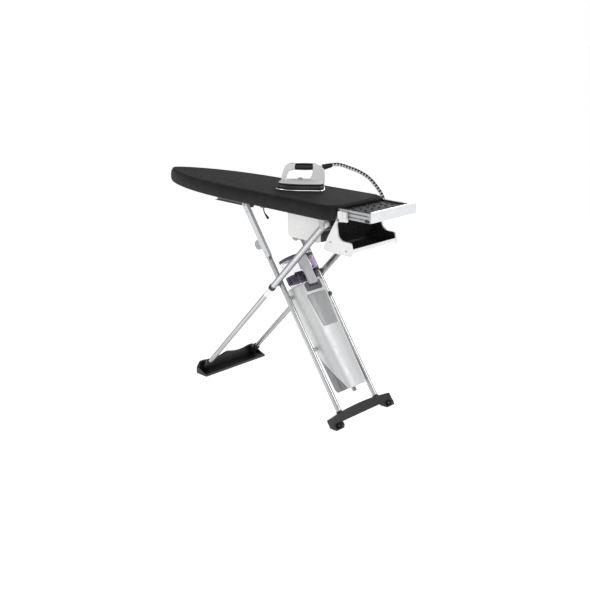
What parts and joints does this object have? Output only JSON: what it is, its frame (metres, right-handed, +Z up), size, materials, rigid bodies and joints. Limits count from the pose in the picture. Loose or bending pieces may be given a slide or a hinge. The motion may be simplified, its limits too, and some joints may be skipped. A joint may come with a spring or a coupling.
{
  "type": "ironing board",
  "caption": "Steam ironing board with padded cover, blower, scissor legs, steam generator with lift-out tank, sliding iron tray, bin, and iron on a braided hose.",
  "frame": {"origin": "centre of the footprint of the overall bounding box, on the floor", "axes": "+X along the board from nose to tail, +Y across the board to its far side, +Z up from the floor"},
  "size_m": [1.428, 0.3965, 1.0733],
  "materials": {
    "board_steel": "satin",
    "cover_cloth": "matte woven",
    "felt": "matte felt",
    "chrome_tube": "polished",
    "zinc_steel": "satin",
    "white_plastic": "gloss",
    "black_plastic": "matte",
    "dark_trim": "satin",
    "tray_silver": "brushed",
    "mat_rubber": "matte",
    "shell_silver": "satin metallic",
    "shell_grey": "satin metallic",
    "label_grey": "satin",
    "tank_clear": "clear tinted",
    "tank_dark": "gloss",
    "filter_lilac": "gloss",
    "sole_steel": "polished",
    "grip_black": "satin",
    "button_grey": "satin",
    "hose_braid": "braided",
    "wheel_black": "satin",
    "boiler_steel": "satin",
    "channel_white": "satin"
  },
  "bodies": {
    "board": {"board_pan": "board_steel", "air_plate": "zinc_steel", "felt_pad": "felt", "cover": "cover_cloth", "roller_rails": "board_steel", "leg_brackets": "zinc_steel", "leg_hinge_pins": "zinc_steel", "blower_housing": "white_plastic", "blower_endplate": "black_plastic", "fan_motor": "zinc_steel", "lever_bracket": "zinc_steel", "bin_side_near": "white_plastic", "bin_side_far": "white_plastic", "bin_bottom": "white_plastic", "bin_liner": "black_plastic", "hose_guide": "black_plastic", "steam_hose": "hose_braid"},
    "outer_legs": {"outer_tube_near": "chrome_tube", "outer_tube_far": "chrome_tube", "outer_end_caps": "white_plastic", "outer_top_bar": "chrome_tube", "pivot_pins": "dark_trim", "leg_bushes": "white_plastic"},
    "lower_legs": {"lower_tube_near": "chrome_tube", "lower_tube_far": "chrome_tube", "front_foot": "black_plastic"},
    "inner_legs": {"inner_tube_near": "chrome_tube", "inner_tube_far": "chrome_tube", "inner_channel_near": "channel_white", "inner_channel_far": "channel_white", "disc_brackets": "zinc_steel", "roller_axles": "zinc_steel", "rear_foot": "black_plastic", "wheel_axles": "zinc_steel", "generator_front": "shell_silver", "generator_back": "shell_grey", "boiler": "boiler_steel", "generator_trim": "dark_trim", "label_plate": "label_grey", "power_inlet": "black_plastic"},
    "roller_pair": {"rollers": "wheel_black"},
    "wheel_near_body": {"wheel_near": "wheel_black"},
    "wheel_far_body": {"wheel_far": "wheel_black"},
    "knob": {"pressure_knob": "dark_trim"},
    "plug": {"drain_plug": "zinc_steel"},
    "tank": {"water_tank": "tank_clear", "tank_lid": "tank_dark", "tank_handle": "button_grey", "tank_filter": "filter_lilac"},
    "tray": {"tray_panel": "tray_silver", "tray_frame": "black_plastic", "tray_mat": "mat_rubber", "tray_rails": "zinc_steel"},
    "lever": {"height_lever": "black_plastic"},
    "fan_wheel": {"fan_impeller": "dark_trim"},
    "iron": {"iron_soleplate": "sole_steel", "iron_body": "white_plastic", "iron_grip": "grip_black"},
    "button": {"steam_button": "button_grey"},
    "dial": {"steam_dial": "button_grey"}
  },
  "joints": [
    {"name": "outer_leg_fold", "type": "hinge", "parent": "board", "child": "outer_legs", "pos_m": [0.48099, 0, 0.87441], "axis": [0, 1, 0], "range_deg": [0, 20]},
    {"name": "leg_extend", "type": "slide", "parent": "outer_legs", "child": "lower_legs", "axis": [-0.682, 0, -0.7314], "range_m": [-0.08, 0]},
    {"name": "inner_leg_fold", "type": "hinge", "parent": "outer_legs", "child": "inner_legs", "pos_m": [0.185, 0, 0.557], "axis": [0, 1, 0], "range_deg": [-44.5, 0]},
    {"name": "roller_spin", "type": "hinge", "parent": "inner_legs", "child": "roller_pair", "pos_m": [-0.03755, 0, 0.87483], "axis": [0, 1, 0], "continuous": true},
    {"name": "wheel_near_spin", "type": "hinge", "parent": "inner_legs", "child": "wheel_near_body", "pos_m": [0.594, -0.166, 0.02], "axis": [0, 1, 0], "continuous": true},
    {"name": "wheel_far_spin", "type": "hinge", "parent": "inner_legs", "child": "wheel_far_body", "pos_m": [0.594, 0.166, 0.02], "axis": [0, 1, 0], "continuous": true},
    {"name": "pressure_turn", "type": "hinge", "parent": "inner_legs", "child": "knob", "pos_m": [0.27783, 0.09, 0.47673], "axis": [0, 1, 0], "range_deg": [0, 270]},
    {"name": "drain_turn", "type": "hinge", "parent": "inner_legs", "child": "plug", "pos_m": [0.52439, 0, 0.10368], "axis": [-0.5736, 0, 0.8192], "range_deg": [0, 120]},
    {"name": "tank_lift", "type": "slide", "parent": "inner_legs", "child": "tank", "axis": [-0.5736, 0, 0.8192], "range_m": [0, 0.06]},
    {"name": "tray_slide", "type": "slide", "parent": "board", "child": "tray", "axis": [1, 0, 0], "range_m": [-0.115, 0]},
    {"name": "height_release", "type": "hinge", "parent": "board", "child": "lever", "pos_m": [0.105, -0.15, 0.891], "axis": [0, 1, 0], "range_deg": [-15, 0], "stiffness_Nm_per_rad": 0.6, "springref_deg": 5.73},
    {"name": "fan_spin", "type": "hinge", "parent": "board", "child": "fan_wheel", "pos_m": [0.306, 0, 0.82], "axis": [0, 0, 1], "continuous": true},
    {"name": "iron_lift", "type": "slide", "parent": "board", "child": "iron", "axis": [0, 0, 1], "range_m": [0, 0.08], "deforming": ["steam_hose"]},
    {"name": "steam_press", "type": "slide", "parent": "iron", "child": "button", "axis": [0, 0, -1], "range_m": [0, 0.0018], "stiffness_N_per_m": 900, "springref_m": -0.001},
    {"name": "steam_turn", "type": "hinge", "parent": "iron", "child": "dial", "pos_m": [0.18326, 0.00427, 1.0023], "axis": [0, 0, 1], "range_deg": [0, 180]}
  ],
  "couplings": [
    {"joint": "inner_leg_fold", "follows": "outer_leg_fold", "ratio": -2.225}
  ]
}
